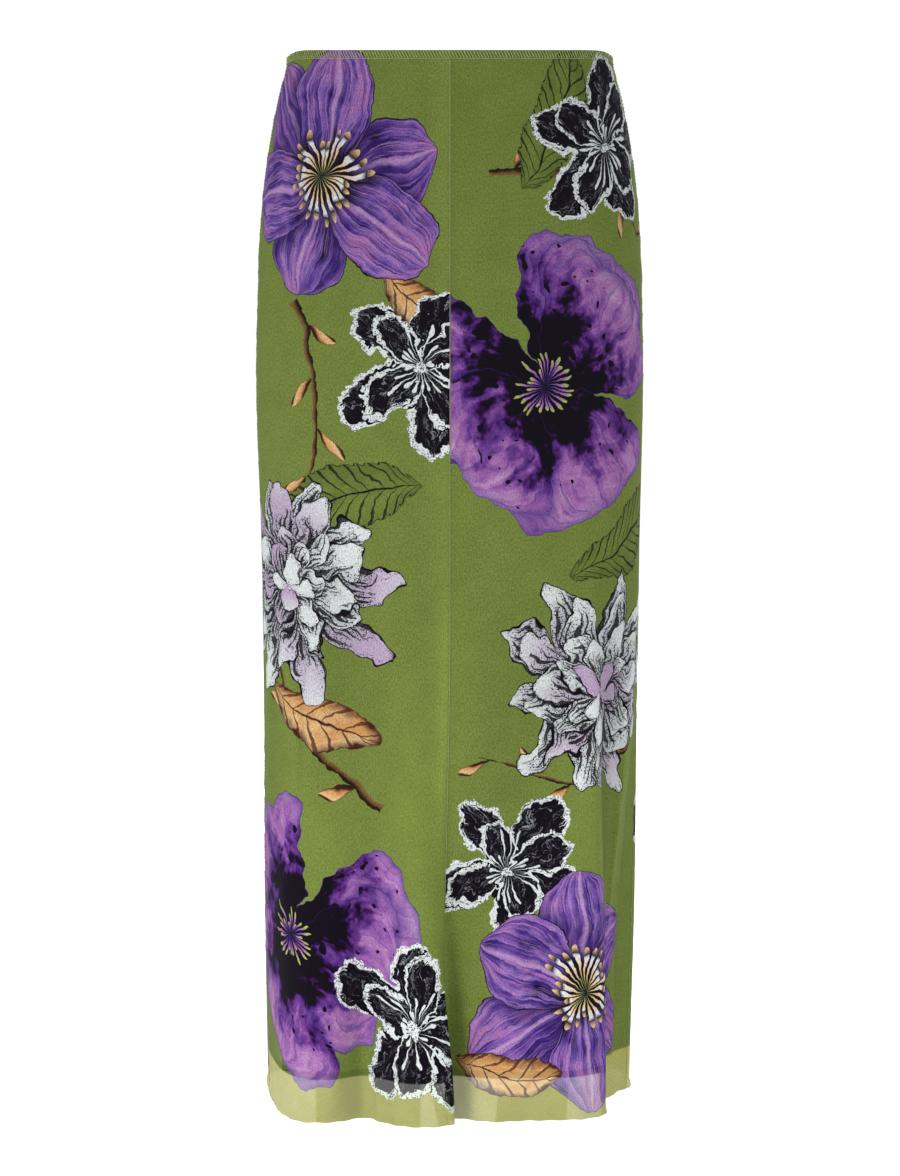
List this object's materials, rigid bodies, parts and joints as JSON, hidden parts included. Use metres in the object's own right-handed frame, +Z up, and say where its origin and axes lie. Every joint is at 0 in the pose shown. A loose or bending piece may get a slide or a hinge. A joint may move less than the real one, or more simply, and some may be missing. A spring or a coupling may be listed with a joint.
{
  "type": "midi skirt",
  "caption": "Hollow midi skirt as worn: printed sheer mesh over an opaque lining, narrow elastic waist edge, centre front seam and a raw sheer hem.",
  "frame": {"origin": "middle of the waist opening, level with the top edge, where the wearer's waist holds the skirt", "axes": "+Z up along the wearer's body, -Y to the front, +X to the right of someone facing the front"},
  "size_m": [0.3438, 0.2691, 0.938],
  "materials": {
    "printed_mesh": "matt fine stretch mesh, printed with flowers on leaf green",
    "lining_jersey": "matt opaque leaf green jersey",
    "elastic": "matt green ribbed elastic"
  },
  "bodies": {
    "root": {"front_left": "printed_mesh", "front_right": "printed_mesh", "back": "printed_mesh", "lining_front": "lining_jersey", "lining_back": "lining_jersey", "waist_elastic": "elastic"}
  },
  "joints": []
}
